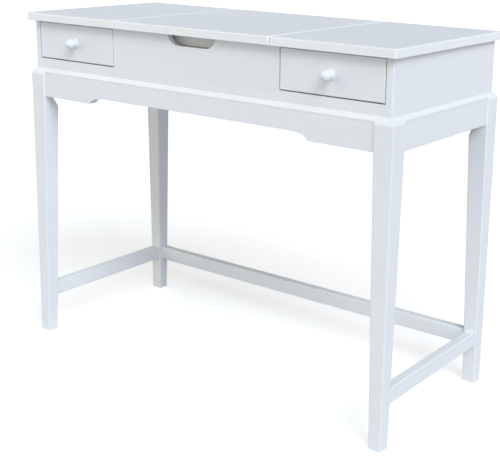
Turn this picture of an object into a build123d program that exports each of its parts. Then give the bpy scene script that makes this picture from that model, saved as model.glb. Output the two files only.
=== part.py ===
from build123d import *
from math import asin, cos, radians, sin, sqrt
import os

# A dressing table: a shallow case on a leg-and-apron base, a drawer each side of a lidded well,
# and a mirror on the underside of the lid. Millimetres, +Z up, front towards -Y, left is -X.
# The origin is on the floor, midway between the sides and between the knobs and the rear legs.

# Top
table_width = 965.0
table_height = 762.0
top_depth = 410.0
top_thickness = 17.5
top_arris = 2.0  # rounding of the upper edges
top_under_arris = 1.0  # rounding of the lower edges
top_corner_flat = 1.4  # taken off the upright corners of each board
lid_width = 412.8
lid_side_gap = 1.2  # between the lid and each fixed panel
lid_seat_gap = 0.4  # under the lid, where it lies over the case

# Case
side_overhang = 11.2
front_overhang = 14.3
rear_overhang = 1.2
case_height = 105.5
case_side_thickness = 15.0
case_front_thickness = 12.5
case_back_thickness = 12.0
case_bottom_thickness = 10.0
case_arris = 4.0  # of the outer corners
front_rail_height = 21.0
divider_thickness = 15.0
divider_lip = 1.3  # how far a divider stands in past the edge of its fixed panel
notch_flat = 69.0  # level part of the finger notch
notch_depth = 23.0
notch_round = 31.0

# Base
leg_standout = 9.2  # how far the legs stand out from the case
ledge_drop = 14.0  # height of the sloped ledge round the foot of the case
leg_section = 42.0
foot_section = 27.5
leg_arris = 3.0  # rounding of the outer corner
leg_ease = 2.0  # flat along the other corners
apron_height = 65.5
apron_thickness = 20.0
apron_setback = 3.3
shoulder_width = 590.0  # of the front apron's raised middle, at the foot of its slopes
slope_run = 12.0
slope_rise = 10.5
cove_run = 38.0
cove_rise = 4.2
corner_cut = 17.0  # flat on the inner corner of each leg, for its bracket
corner_cut_drop = 13.0  # how far the full flat runs on below the apron
corner_cut_runout = 17.0
stretcher_height = 33.0
stretcher_thickness = 20.0
stretcher_level = 84.0  # underside, above the floor
stretcher_setback = 5.5
stretcher_ease = 1.5
stretcher_tenon_length = 9.5
stretcher_tenon_thickness = 8.0
stretcher_tenon_height = 20.0
tenon_clearance = 0.1  # round every tenon

# Base hardware
hole_clearance = 0.1  # round every bolt, pin and pivot
bracket_gap = 10.0  # between a leg's flat and its bracket
bracket_plate = 2.0
bracket_height = 44.0
bracket_flange = 22.0
bracket_bolt_radius = 4.0
bolt_depth = 34.0  # in the leg
bolt_tail = 12.0  # past the bracket
nut_width = 13.0
nut_height = 6.5

# Drawers
drawer_gap = 2.3  # beside and under the drawer front
drawer_top_gap = 3.0
drawer_arris = 1.5
drawer_side_gap = 1.5  # between the drawer box and its opening
drawer_side_thickness = 12.0
drawer_side_height = 69.7
drawer_back_height = 78.7
drawer_rear_gap = 34.5  # between the closed drawer and the case's back
drawer_bottom_thickness = 5.0
drawer_bottom_raise = 8.0
drawer_groove = 6.0
groove_clearance = 0.2
runner_height = 13.0
runner_width = 16.0
runner_gap = 0.3
stop_width = 40.0
stop_length = 71.5
stop_drop = 10.5
stop_gap = 0.3  # between the stop and the closed drawer front

# Knobs
knob_head_radius = 10.8
knob_reach = 27.4
knob_neck_radius = 5.8
knob_base_radius = 11.0
knob_base_rim = 3.0
knob_tip_radius = 1.5  # small flat at the front of the head
knob_head_bands = 7
knob_neck_bands = 3
knob_sides = 32  # flats round the turned form
knob_tenon_radius = 5.0
knob_tenon_length = 10.0

# Mirror under the lid
frame_rail_width = 18.0
frame_rail_depth = 24.5
frame_front_gap = 10.0  # behind the front panel
frame_rear_gap = 11.8  # before the back panel
frame_side_gap = 11.5  # beside each divider
frame_lip = 5.0
frame_rebate = 8.0
frame_arris = 1.5
glass_thickness = 4.0
backing_thickness = 3.0
mirror_slip = 0.5  # round the glass and its backing board

# Hinges
hinge_centre_width = 270.0  # between the middles of the two hinges
hinge_length = 60.0
hinge_leaf_width = 10.0  # on the back panel's top edge
leaf_thickness = 1.5
barrel_radius = 3.2
barrel_gap = 0.3  # between the barrel and the rear edge of the lid
knuckle_count = 3
knuckle_gap = 0.3
hinge_pin_radius = 1.5
hinge_pin_clearance = 0.08

# Lid stay: the arm's pivot on the mirror frame and the pin on the divider lie equally far from
# the hinge axis, so the arm always turns through half the lid's angle.
stay_radius = 46.0
lid_opening = 100.0  # degrees
stay_pivot_drop = 6.0  # below the hinge axis
stay_pin_offset = 7.5  # from pivot to pin, lid closed
stay_arm_width = 10.0
stay_arm_thickness = 2.0
stay_pin_radius = 2.0
stay_pivot_clearance = 0.1
slot_clearance = 0.2  # each side of the pin
slot_end_clearance = 0.4
stay_arm_gap = 0.5  # between the mirror frame and the arm
stay_side_play = 0.2  # between the arm and what it turns against
stay_shoulder_radius = 3.5
stay_head_thickness = 1.6
stay_fixing_depth = 10.0  # of pivot and pin in the wood

# Planes worked out from the sizes above
case_depth = top_depth - front_overhang - rear_overhang
overall_depth = knob_reach + case_depth + leg_standout
case_front = knob_reach - overall_depth / 2
case_rear = case_front + case_depth
top_front = case_front - front_overhang
top_rear = case_rear + rear_overhang
case_half = table_width / 2 - side_overhang
case_top = table_height - top_thickness
case_bottom = case_top - case_height
case_floor = case_bottom + case_bottom_thickness
case_inside = case_half - case_side_thickness
front_back = case_front + case_front_thickness
back_front = case_rear - case_back_thickness
panel_edge = lid_width / 2 + lid_side_gap
divider_inside = panel_edge - divider_lip
divider_outside = divider_inside + divider_thickness
rail_top = case_bottom + front_rail_height
lid_under = case_top + lid_seat_gap

base_half = case_half + leg_standout
base_front = case_front - leg_standout
base_rear = case_rear + leg_standout
base_middle = (base_front + base_rear) / 2
apron_bottom = case_bottom - apron_height
leg_inside = base_half - leg_section
leg_back = base_front + leg_section
apron_end = leg_inside
apron_in_x = base_half - apron_setback - apron_thickness
apron_in_y = base_front + apron_setback + apron_thickness

drawer_middle = (divider_outside + case_inside) / 2
runner_top = case_floor + runner_height
box_bottom = runner_top + runner_gap
box_left = divider_outside + drawer_side_gap
box_right = case_inside - drawer_side_gap
box_rear = back_front - drawer_rear_gap
drawer_front_bottom = rail_top + drawer_gap
drawer_front_top = case_top - drawer_top_gap
knob_height = (drawer_front_bottom + drawer_front_top) / 2

hinge_y = top_rear + barrel_gap + barrel_radius
hinge_z = case_top + lid_seat_gap / 2
frame_half = divider_inside - frame_side_gap
frame_front = front_back + frame_front_gap
frame_rear = back_front - frame_rear_gap
frame_bottom = lid_under - frame_rail_depth
glass_bottom = frame_bottom + frame_lip
backing_bottom = glass_bottom + glass_thickness
bead_bottom = backing_bottom + backing_thickness

pivot_angle = asin(stay_pivot_drop / stay_radius)
closed_angle = 2 * asin(stay_pin_offset / (2 * stay_radius))
open_distance = 2 * stay_radius * sin(closed_angle / 2 + radians(lid_opening) / 2)
stay_tilt = pivot_angle + closed_angle / 2
arm_inner_face = frame_half + stay_arm_gap
arm_outer_face = arm_inner_face + stay_arm_thickness


def board(x_span, y_span, z_span):
    size = [high - low for low, high in (x_span, y_span, z_span)]
    middle = [(high + low) / 2 for low, high in (x_span, y_span, z_span)]
    return Pos(*middle) * Box(*size)


def rod(radius, start, direction, length):
    return Plane(origin=start, z_dir=direction) * Cylinder(
        radius, length, align=(Align.CENTER, Align.CENTER, Align.MIN)
    )


def prism(plane, points, depth):
    outline = make_face(Polyline(*points, close=True))
    return extrude(plane * outline, depth, both=True)


def flip_side(piece):
    return mirror(piece, about=Plane.YZ)


def flip_depth(piece):
    return mirror(piece, about=Plane.XZ.offset(-base_middle))


def at_corners(piece):
    right = [piece, flip_depth(piece)]
    return right + [flip_side(one) for one in right]


def group(solids):
    return Compound(children=list(solids))


def along(piece, axis):
    return piece.edges().filter_by(axis)


# ---- base ----


def ledge_envelope():
    """Everything the base may fill: its footprint, drawn in to the case's along the ledge."""
    ledge_foot = case_bottom - ledge_drop
    wide = Rectangle(2 * base_half, base_rear - base_front)
    narrow = Rectangle(2 * case_half, case_rear - case_front)
    slope = loft([Pos(0, base_middle, ledge_foot) * wide, Pos(0, base_middle, case_bottom) * narrow])
    below = board((-table_width, table_width), (-table_width, table_width), (-1, ledge_foot))
    return slope + below


def leg_slice(size, height):
    """Square with its outer corner on the corner of the base and the other corners eased."""
    near, far = base_half - size, base_front + size
    ease = leg_ease
    return Pos(0, 0, height) * make_face(Polyline(
        (near + ease, base_front), (base_half, base_front), (base_half, far - ease),
        (base_half - ease, far), (near + ease, far), (near, far - ease),
        (near, base_front + ease), close=True,
    ))


def leg_blank():
    """Front right leg: outer faces plumb, inner faces tapered below the aprons."""
    taper = loft([leg_slice(foot_section, 0), leg_slice(leg_section, apron_bottom)], ruled=True)
    blank = taper + extrude(leg_slice(leg_section, apron_bottom), apron_height)
    outer = along(blank, Axis.Z).group_by(SortBy.LENGTH)[-1]
    return fillet(outer, leg_arris)


def corner_cutter():
    """Flat across a leg's inner corner, running out below the apron."""
    depth = corner_cut / sqrt(2)
    flat_foot = apron_bottom - corner_cut_drop
    side = [
        (-leg_section, flat_foot - corner_cut_runout * (1 + leg_section / depth)),
        (depth, flat_foot),
        (depth, case_bottom + 1),
        (-leg_section, case_bottom + 1),
    ]
    diagonal = Plane(origin=(leg_inside, leg_back, 0), x_dir=(1, -1, 0), z_dir=(-1, -1, 0))
    return prism(diagonal, side, leg_section)


def make_legs():
    leg = (leg_blank() - corner_cutter()) & ledge_envelope()
    leg -= corner_bolt(bracket_bolt_radius + hole_clearance)
    right_front, right_rear, left_front, left_rear = at_corners(leg)
    legs = {
        "leg_front_left": left_front,
        "leg_front_right": right_front,
        "leg_rear_left": left_rear,
        "leg_rear_right": right_rear,
    }
    return {name: one - group(tenons(tenon_clearance)) for name, one in legs.items()}


def front_apron():
    """Lower edge raised in the middle, each end a slope and a shallow cove."""
    foot_x = shoulder_width / 2
    slope_x = foot_x - slope_run
    cove_x = slope_x - cove_run
    slope_z = apron_bottom + slope_rise
    arch_z = slope_z + cove_rise
    half = [
        Line((0, arch_z), (cove_x, arch_z)),
        TangentArc((cove_x, arch_z), (slope_x, slope_z), tangent=(1, 0)),
        Polyline((slope_x, slope_z), (foot_x, apron_bottom), (apron_end, apron_bottom)),
        Polyline((apron_end, apron_bottom), (apron_end, case_bottom), (0, case_bottom), (0, arch_z)),
    ]
    outline = make_face(half)
    face_y = base_front + apron_setback
    right = extrude(Plane.XZ.offset(-face_y) * outline, -apron_thickness)
    return (right + flip_side(right)) & ledge_envelope()


def straight_apron_rear():
    face_y = base_rear - apron_setback
    body = board((-apron_end, apron_end), (face_y - apron_thickness, face_y), (apron_bottom, case_bottom))
    return body & ledge_envelope()


def straight_apron_right():
    leg_front_of_rear = base_rear - leg_section
    face_x = base_half - apron_setback
    body = board((apron_in_x, face_x), (leg_back, leg_front_of_rear), (apron_bottom, case_bottom))
    return body & ledge_envelope()


def make_aprons():
    right = straight_apron_right()
    return {
        "apron_front": front_apron(),
        "apron_rear": straight_apron_rear(),
        "apron_right": right,
        "apron_left": flip_side(right),
    }


def side_stretcher_span():
    outer = base_half - stretcher_setback
    return (outer - stretcher_thickness, outer)


def rear_stretcher_span():
    outer = base_rear - stretcher_setback
    return (outer - stretcher_thickness, outer)


def tenons(clearance=0.0):
    """Tenon of each stretcher end, from inside the stretcher into the leg."""
    level = stretcher_level + stretcher_height / 2
    taper = (leg_section - foot_section) * level / apron_bottom
    reach = stretcher_tenon_length + clearance
    root = leg_section
    half_thickness = stretcher_tenon_thickness / 2 + clearance
    half_height = stretcher_tenon_height / 2 + clearance
    heights = (level - half_height, level + half_height)
    side_x = sum(side_stretcher_span()) / 2
    rear_y = sum(rear_stretcher_span()) / 2
    shoulder = foot_section + taper
    front_face, rear_face = base_front + shoulder, base_rear - shoulder
    side_face = base_half - shoulder
    across = (side_x - half_thickness, side_x + half_thickness)
    right = [
        board(across, (front_face - reach, front_face + root), heights),
        board(across, (rear_face - root, rear_face + reach), heights),
        board((side_face - root, side_face + reach), (rear_y - half_thickness, rear_y + half_thickness),
              heights),
    ]
    return right + [flip_side(one) for one in right]


def make_stretchers(legs):
    """Each stretcher is cut to the tapered faces of the legs it joins, then given its tenons."""
    level = (stretcher_level, stretcher_level + stretcher_height)
    into_leg = foot_section / 2
    depth_span = (base_front + into_leg, base_rear - into_leg)
    half_span = base_half - into_leg
    right = board(side_stretcher_span(), depth_span, level)
    right = chamfer(along(right, Axis.Y), stretcher_ease)
    rear = board((-half_span, half_span), rear_stretcher_span(), level)
    rear = chamfer(along(rear, Axis.X), stretcher_ease)
    right = largest(right - (legs["leg_front_right"] + legs["leg_rear_right"]))
    rear = largest(rear - (legs["leg_rear_left"] + legs["leg_rear_right"]))
    front_right, rear_right, rear_end, _, _, other_end = tenons()
    right = right + front_right + rear_right
    return {
        "stretcher_right": right,
        "stretcher_left": flip_side(right),
        "stretcher_rear": rear + rear_end + other_end,
    }


def largest(piece):
    return piece.solids().sort_by(SortBy.VOLUME)[-1]


# ---- corner brackets of the base ----

into_leg_direction = Vector(1, -1, 0).normalized()
flat_middle = Vector(leg_inside, leg_back, 0) + into_leg_direction * (corner_cut / sqrt(2))
bracket_level = (apron_bottom + case_bottom) / 2


def on_corner_axis(inward, height=bracket_level):
    """Point on the diagonal through a corner, measured inwards from the leg's flat."""
    spot = flat_middle - into_leg_direction * inward
    return Vector(spot.X, spot.Y, height)


def corner_bolt(radius):
    length = bolt_depth + bracket_gap + bracket_plate + bolt_tail
    start = on_corner_axis(length - bolt_depth)
    return rod(radius, start, into_leg_direction, length)


def bracket_outline(inward):
    """The bent plate's line at a distance inwards: along one apron, across, along the other."""
    across = on_corner_axis(bracket_gap + inward)
    reach = across.X - across.Y
    front_y = apron_in_y + inward
    side_x = apron_in_x - inward
    front_end = apron_in_y + reach_of_bracket() - bracket_flange
    side_end = apron_in_x - reach_of_bracket() + bracket_flange
    return [(front_end, front_y), (front_y + reach, front_y), (side_x, side_x - reach), (side_x, side_end)]


def reach_of_bracket():
    across = on_corner_axis(bracket_gap)
    return across.X - across.Y


def corner_bracket():
    outer = bracket_outline(0)
    inner = bracket_outline(bracket_plate)
    plate = prism(Plane.XY.offset(bracket_level), outer + inner[::-1], bracket_height / 2)
    return plate - corner_bolt(bracket_bolt_radius + hole_clearance)


def corner_nut():
    seat = on_corner_axis(bracket_gap + bracket_plate + nut_height)
    face = Plane(origin=seat, z_dir=into_leg_direction)
    hexagon = extrude(face * RegularPolygon(nut_width / 2, 6, major_radius=False), nut_height)
    return hexagon - corner_bolt(bracket_bolt_radius + hole_clearance)


def make_base_hardware():
    return {
        "corner_brackets": group(at_corners(corner_bracket())),
        "corner_bolts": group(at_corners(corner_bolt(bracket_bolt_radius))),
        "corner_nuts": group(at_corners(corner_nut())),
    }


# ---- case ----


def case_side_right():
    side = board((case_inside, case_half), (case_front, case_rear), (case_bottom, case_top))
    outer = along(side, Axis.Z).sort_by(Axis.X)[-2:]
    return fillet(outer, case_arris)


def front_panel():
    """Panel before the well, with the finger notch in its upper edge."""
    panel = board((-divider_outside, divider_outside), (case_front, front_back), (rail_top, case_top))
    flat = notch_flat / 2
    mouth = flat + notch_round
    floor = case_top - notch_depth
    side = floor + notch_round
    above = case_top + notch_depth
    notch = [
        Line((-flat, floor), (flat, floor)),
        RadiusArc((flat, floor), (mouth, side), -notch_round),
        Polyline((mouth, side), (mouth, above), (-mouth, above), (-mouth, side)),
        RadiusArc((-mouth, side), (-flat, floor), -notch_round),
    ]
    return panel - extrude(Plane.XZ * make_face(notch), table_width, both=True)


def back_panel():
    panel = board((-case_inside, case_inside), (back_front, case_rear), (case_bottom, case_top))
    for hinge_x in (-hinge_centre_width / 2, hinge_centre_width / 2):
        panel -= Pos(hinge_x, 0, 0) * leaf_plate(case_top - leaf_thickness, case_top)
    return panel


def divider_right():
    divider = board((divider_inside, divider_outside), (front_back, back_front), (case_floor, case_top))
    return divider - stay_pin(hole_clearance)


def runners_right():
    left = board((divider_outside, divider_outside + runner_width), (front_back, back_front),
                 (case_floor, runner_top))
    right = board((case_inside - runner_width, case_inside), (front_back, back_front),
                  (case_floor, runner_top))
    return [left, right]


def drawer_stop_right():
    middle = drawer_middle
    return board((middle - stop_width / 2, middle + stop_width / 2),
                 (front_back + stop_gap, front_back + stop_gap + stop_length),
                 (case_top - stop_drop, case_top))


def rounded_panel(x_span, z_span):
    panel = board(x_span, (top_front, top_rear), z_span)
    panel = chamfer(panel.edges().filter_by(Axis.Z), top_corner_flat)
    panel = fillet(panel.faces().sort_by(Axis.Z)[-1].edges(), top_arris)
    return fillet(panel.faces().sort_by(Axis.Z)[0].edges(), top_under_arris)


def make_case():
    side = case_side_right()
    fixed_top = rounded_panel((panel_edge, table_width / 2), (case_top, table_height))
    divider = divider_right()
    plain_divider = board((-divider_outside, -divider_inside), (front_back, back_front),
                          (case_floor, case_top))
    runners = runners_right()
    stop = drawer_stop_right()
    return {
        "case_side_left": flip_side(side),
        "case_side_right": side,
        "case_back": back_panel(),
        "case_bottom": board((-case_inside, case_inside), (front_back, back_front),
                             (case_bottom, case_floor)),
        "front_rail": board((-case_inside, case_inside), (case_front, front_back),
                            (case_bottom, rail_top)),
        "front_panel": front_panel(),
        "divider_left": plain_divider,
        "divider_right": divider,
        "drawer_runners": group(runners + [flip_side(one) for one in runners]),
        "drawer_stops": group([stop, flip_side(stop)]),
        "top_left": flip_side(fixed_top),
        "top_right": fixed_top,
    }


# ---- drawers ----


def drawer_front():
    front = board((divider_outside + drawer_gap, case_inside - drawer_gap),
                  (case_front, front_back), (drawer_front_bottom, drawer_front_top))
    face = front.faces().sort_by(Axis.Y)[0]
    front = fillet(face.edges(), drawer_arris)
    front -= drawer_bottom(groove_clearance)
    return front - knob_tenon(hole_clearance)


def drawer_sides():
    height = (box_bottom, box_bottom + drawer_side_height)
    depth = (front_back, box_rear)
    inner = board((box_left, box_left + drawer_side_thickness), depth, height)
    outer = board((box_right - drawer_side_thickness, box_right), depth, height)
    slot = drawer_bottom(groove_clearance)
    return inner - slot, outer - slot


def drawer_back():
    back = board((box_left + drawer_side_thickness, box_right - drawer_side_thickness),
                 (box_rear - drawer_side_thickness, box_rear),
                 (box_bottom, box_bottom + drawer_back_height))
    return back - drawer_bottom(groove_clearance)


def drawer_bottom(clearance=0.0):
    """Bottom board, let into grooves in the front, sides and back."""
    inset = drawer_side_thickness - drawer_groove
    low = box_bottom + drawer_bottom_raise
    return board((box_left + inset - clearance, box_right - inset + clearance),
                 (front_back - drawer_groove - clearance, box_rear - inset + clearance),
                 (low - clearance, low + drawer_bottom_thickness + clearance))


def knob_outline():
    """Radius and height of each edge, from the base rim round to the front of the head."""
    head_middle = knob_reach - knob_head_radius
    start = asin(knob_neck_radius / knob_head_radius)
    neck = head_middle - knob_head_radius * cos(start)
    outline = [(knob_base_radius, 0), (knob_base_radius, knob_base_rim)]
    for step in range(1, knob_neck_bands):
        turn = radians(90) * step / knob_neck_bands
        outline.append((knob_base_radius - (knob_base_radius - knob_neck_radius) * sin(turn),
                        neck - (neck - knob_base_rim) * cos(turn)))
    for step in range(knob_head_bands):
        turn = start + (radians(180) - start) * step / knob_head_bands
        outline.append((knob_head_radius * sin(turn), head_middle - knob_head_radius * cos(turn)))
    return outline + [(knob_tip_radius, knob_reach)]


def knob_tenon(clearance=0.0):
    start = Vector(drawer_middle, case_front + knob_tenon_length + clearance, knob_height)
    return rod(knob_tenon_radius + clearance, start, (0, -1, 0), knob_tenon_length + clearance)


def knob_ring(radius, height):
    turns = [radians(360) * side / knob_sides for side in range(knob_sides)]
    return [Vector(radius * cos(turn), radius * sin(turn), height) for turn in turns]


def flat_face(corners):
    return Face(Wire.make_polygon(corners))


def knob():
    """Round head on a waisted neck, in narrow flats, with a tenon glued into the drawer front."""
    rings = [knob_ring(*point) for point in knob_outline()]
    faces = [flat_face(rings[0]), flat_face(rings[-1])]
    for lower, upper in zip(rings, rings[1:]):
        for side in range(knob_sides):
            after = (side + 1) % knob_sides
            faces.append(flat_face([lower[side], lower[after], upper[after], upper[side]]))
    seat = Plane(origin=(drawer_middle, case_front, knob_height), x_dir=(1, 0, 0), z_dir=(0, -1, 0))
    return seat * Solid(Shell(faces)) + knob_tenon()


def make_drawers():
    inner, outer = drawer_sides()
    right = {
        "front": drawer_front(),
        "inner_side": inner,
        "outer_side": outer,
        "back": drawer_back(),
        "bottom": drawer_bottom(),
        "knob": knob(),
    }
    pieces = {}
    for name, piece in right.items():
        pieces["drawer_right_" + name] = piece
        pieces["drawer_left_" + name] = flip_side(piece)
    return pieces


# ---- lid, mirror and hinges ----


def lid_panel():
    lid = rounded_panel((-lid_width / 2, lid_width / 2), (lid_under, table_height))
    for hinge_x in (-hinge_centre_width / 2, hinge_centre_width / 2):
        lid -= Pos(hinge_x, 0, 0) * leaf_plate(lid_under, lid_under + leaf_thickness)
    return lid


def rail_face(outer, inward):
    """Section of a frame rail: full depth at its outer face, then a lip under the glass."""
    rebate = outer + inward * (frame_rail_width - frame_rebate)
    inner = outer + inward * frame_rail_width
    corners = [
        (outer, lid_under),
        (outer, frame_bottom),
        (inner, frame_bottom),
        (inner, glass_bottom),
        (rebate, glass_bottom),
        (rebate, lid_under),
    ]
    section = make_face(Polyline(*corners, close=True))
    return fillet(section.vertices().sort_by(Axis.Y)[:2], frame_arris)


def mitred(rail, outer_corners, inner_corners):
    return rail & prism(Plane.XY.offset(lid_under), outer_corners + inner_corners, table_height)


def make_mirror_frame():
    """Four rails mitred at the corners; the plans run just past the rails' inner faces."""
    middle = (frame_front + frame_rear) / 2
    past = frame_rail_width + 1
    corners = [(frame_half, frame_front), (frame_half, frame_rear)]
    inner = [(frame_half - past, frame_front + past), (frame_half - past, frame_rear - past)]
    front_plan = [(-frame_half, frame_front), corners[0]], [inner[0], (past - frame_half, inner[0][1])]
    rear_plan = [(-frame_half, frame_rear), corners[1]], [inner[1], (past - frame_half, inner[1][1])]
    front = extrude(Plane.YZ * rail_face(frame_front, 1), frame_half, both=True)
    rear = extrude(Plane.YZ * rail_face(frame_rear, -1), frame_half, both=True)
    side = extrude(Plane.XZ.offset(-middle) * rail_face(frame_half, -1), frame_half, both=True)
    side = mitred(side, corners, inner[::-1])
    return {
        "mirror_frame_front": mitred(front, *front_plan),
        "mirror_frame_rear": mitred(rear, *rear_plan),
        "mirror_frame_right": side - stay_pivot(hole_clearance),
        "mirror_frame_left": flip_side(side),
    }


def in_rebate(slip, z_span):
    wall = frame_rail_width - frame_rebate + slip
    return board((-frame_half + wall, frame_half - wall), (frame_front + wall, frame_rear - wall), z_span)


def mirror_beads():
    """Four strips that fill the rebate between the backing board and the lid."""
    ring = in_rebate(0, (bead_bottom, lid_under))
    opening = frame_rail_width
    long_x = (-frame_half + opening, frame_half - opening)
    long_y = (frame_front + opening, frame_rear - opening)
    ring -= board(long_x, long_y, (bead_bottom - 1, lid_under + 1))
    sides = ring - board(long_x, (top_front, top_rear), (bead_bottom - 1, lid_under + 1))
    ends = ring & board(long_x, (top_front, top_rear), (bead_bottom - 1, lid_under + 1))
    return group(sides.solids() + ends.solids())


def leaf_plate(low, high):
    """Flat of a hinge leaf, and the recess that takes it."""
    front = case_rear - hinge_leaf_width
    half = hinge_length / 2
    return board((-half, half), (front, hinge_y), (low, high))


def knuckles(own, radius):
    """Cylinders of every second knuckle, starting with the first or the second."""
    pitch = hinge_length / knuckle_count
    first = 0 if own else 1
    turned = []
    for index in range(first, knuckle_count, 2):
        start = -hinge_length / 2 + index * pitch
        turned.append(rod(radius, (start, hinge_y, hinge_z), (1, 0, 0), pitch))
    return turned


def hinge_leaf(for_case):
    """Plate let in flush, rolled into every second knuckle round the pin."""
    low = case_top - leaf_thickness if for_case else lid_under
    plate = leaf_plate(low, low + leaf_thickness)
    leaf = plate + group(knuckles(for_case, barrel_radius))
    for other in knuckles(not for_case, barrel_radius + barrel_gap):
        leaf -= other
    pitch = hinge_length / knuckle_count
    for index in range(1, knuckle_count):
        joint = -hinge_length / 2 + index * pitch
        leaf -= rod(barrel_radius + barrel_gap, (joint - knuckle_gap / 2, hinge_y, hinge_z), (1, 0, 0),
                    knuckle_gap)
    return leaf - hinge_pin(hinge_pin_clearance)


def hinge_pin(clearance=0.0):
    start = (-hinge_length / 2, hinge_y, hinge_z)
    return rod(hinge_pin_radius + clearance, start, (1, 0, 0), hinge_length)


def at_hinges(solids):
    places = (-hinge_centre_width / 2, hinge_centre_width / 2)
    return group([Pos(x, 0, 0) * one for x in places for one in solids])


def make_lid():
    pieces = {
        "lid_panel": lid_panel(),
        "mirror_glass": in_rebate(mirror_slip, (glass_bottom, backing_bottom)),
        "mirror_backing": in_rebate(mirror_slip, (backing_bottom, bead_bottom)),
        "mirror_beads": mirror_beads(),
        "hinge_case_leaves": at_hinges([hinge_leaf(True)]),
        "hinge_lid_leaves": at_hinges([hinge_leaf(False)]),
        "hinge_pins": at_hinges([hinge_pin()]),
    }
    pieces.update(make_mirror_frame())
    return pieces


# ---- lid stay ----


def round_hinge(angle, x):
    """Point at the stay's radius from the hinge axis, at an angle below the closed lid."""
    return Vector(x, hinge_y - stay_radius * cos(angle), hinge_z - stay_radius * sin(angle))


def stay_arm():
    """Flat arm with a round pivot hole and a long slot for the pin on the divider."""
    pivot = round_hinge(pivot_angle, arm_inner_face)
    down_arm = Vector(0, sin(stay_tilt), -cos(stay_tilt))
    plane = Plane(origin=pivot, x_dir=down_arm, z_dir=(1, 0, 0))
    slot_start = stay_pin_offset - slot_end_clearance
    slot_end = open_distance + slot_end_clearance
    slot_radius = stay_pin_radius + slot_clearance
    outline = long_hole(0, slot_end, stay_arm_width / 2)
    outline -= long_hole(slot_start, slot_end, slot_radius)
    outline -= Circle(stay_pin_radius + stay_pivot_clearance)
    return extrude(plane * outline, stay_arm_thickness)


def long_hole(start, end, radius):
    middle = (start + end) / 2
    return Pos(middle, 0) * SlotCenterToCenter(end - start, 2 * radius)


def stay_pivot(clearance=0.0):
    """Screw in the mirror frame that carries the arm between its head and the frame."""
    spot = round_hinge(pivot_angle, frame_half)
    out = Vector(1, 0, 0)
    head_start = arm_outer_face + stay_side_play
    fixing = rod(stay_pin_radius + clearance, spot - out * (stay_fixing_depth + clearance), out,
                 stay_fixing_depth + clearance + head_start - frame_half)
    head = rod(stay_shoulder_radius, Vector(head_start, spot.Y, spot.Z), out, stay_head_thickness)
    return fixing + head


def stay_pin(clearance=0.0):
    """Shouldered pin in the right divider, its end in the arm's slot."""
    spot = round_hinge(pivot_angle + closed_angle, divider_inside)
    inward = Vector(-1, 0, 0)
    shoulder_end = arm_outer_face + stay_side_play
    fixing_start = Vector(divider_inside + stay_fixing_depth + clearance, spot.Y, spot.Z)
    fixing = rod(stay_pin_radius + clearance, fixing_start, inward, fixing_start.X - arm_inner_face)
    return fixing + rod(stay_shoulder_radius, spot, inward, divider_inside - shoulder_end)


def make_stay():
    return {"stay_arm": stay_arm(), "stay_pivot": stay_pivot(), "stay_pin": stay_pin()}


def main():
    os.makedirs("parts", exist_ok=True)
    legs = make_legs()
    pieces = {**legs, **make_aprons(), **make_stretchers(legs), **make_base_hardware()}
    pieces.update(make_case())
    pieces.update(make_drawers())
    pieces.update(make_lid())
    pieces.update(make_stay())
    for name, piece in pieces.items():
        export_step(piece, f"parts/{name}.step")
    print(len(pieces), "nodes; arm from pivot to slot end", round(open_distance, 2))
    print("pivot y, z", [round(v, 3) for v in round_hinge(pivot_angle, 0)][1:])
    print("hinge y, z", round(hinge_y, 3), round(hinge_z, 3))


main()
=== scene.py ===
import math
import bmesh
import bpy
from mathutils import Matrix, Vector


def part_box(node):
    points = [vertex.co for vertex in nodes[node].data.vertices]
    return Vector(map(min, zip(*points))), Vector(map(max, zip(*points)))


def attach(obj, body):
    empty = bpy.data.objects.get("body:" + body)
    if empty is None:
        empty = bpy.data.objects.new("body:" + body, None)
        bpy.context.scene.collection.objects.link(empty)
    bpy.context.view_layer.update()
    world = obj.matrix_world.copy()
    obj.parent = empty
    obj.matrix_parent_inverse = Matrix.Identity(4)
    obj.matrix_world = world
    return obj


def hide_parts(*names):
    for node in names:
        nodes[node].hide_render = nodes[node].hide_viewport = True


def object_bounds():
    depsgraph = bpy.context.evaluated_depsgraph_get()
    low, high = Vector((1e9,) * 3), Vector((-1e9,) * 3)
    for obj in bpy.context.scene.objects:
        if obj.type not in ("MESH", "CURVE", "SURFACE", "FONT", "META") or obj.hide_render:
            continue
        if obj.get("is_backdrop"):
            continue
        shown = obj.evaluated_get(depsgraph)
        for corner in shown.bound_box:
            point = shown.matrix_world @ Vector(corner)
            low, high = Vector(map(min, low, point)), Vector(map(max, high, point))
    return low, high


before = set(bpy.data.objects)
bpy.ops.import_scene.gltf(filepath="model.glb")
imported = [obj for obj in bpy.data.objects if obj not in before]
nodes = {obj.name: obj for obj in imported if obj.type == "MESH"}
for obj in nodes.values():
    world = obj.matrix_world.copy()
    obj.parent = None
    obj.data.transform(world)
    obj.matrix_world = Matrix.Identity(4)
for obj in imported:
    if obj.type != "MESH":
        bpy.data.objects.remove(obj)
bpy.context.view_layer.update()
print("frame:", len(nodes), "nodes")

scene = bpy.context.scene
scene.view_settings.view_transform = "Standard"

camera = {
    "place": (1.3805, -1.7240, 0.9742),
    "turn": 36.96,  # degrees to the left of the table's own depth
    "tilt": -13.58,  # downwards
    "roll": 0.93,
    "lens": 74.2,
    "sensor": 36.0,
    "shiftX": -0.058,
    "shiftY": -0.12,
}


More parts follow.
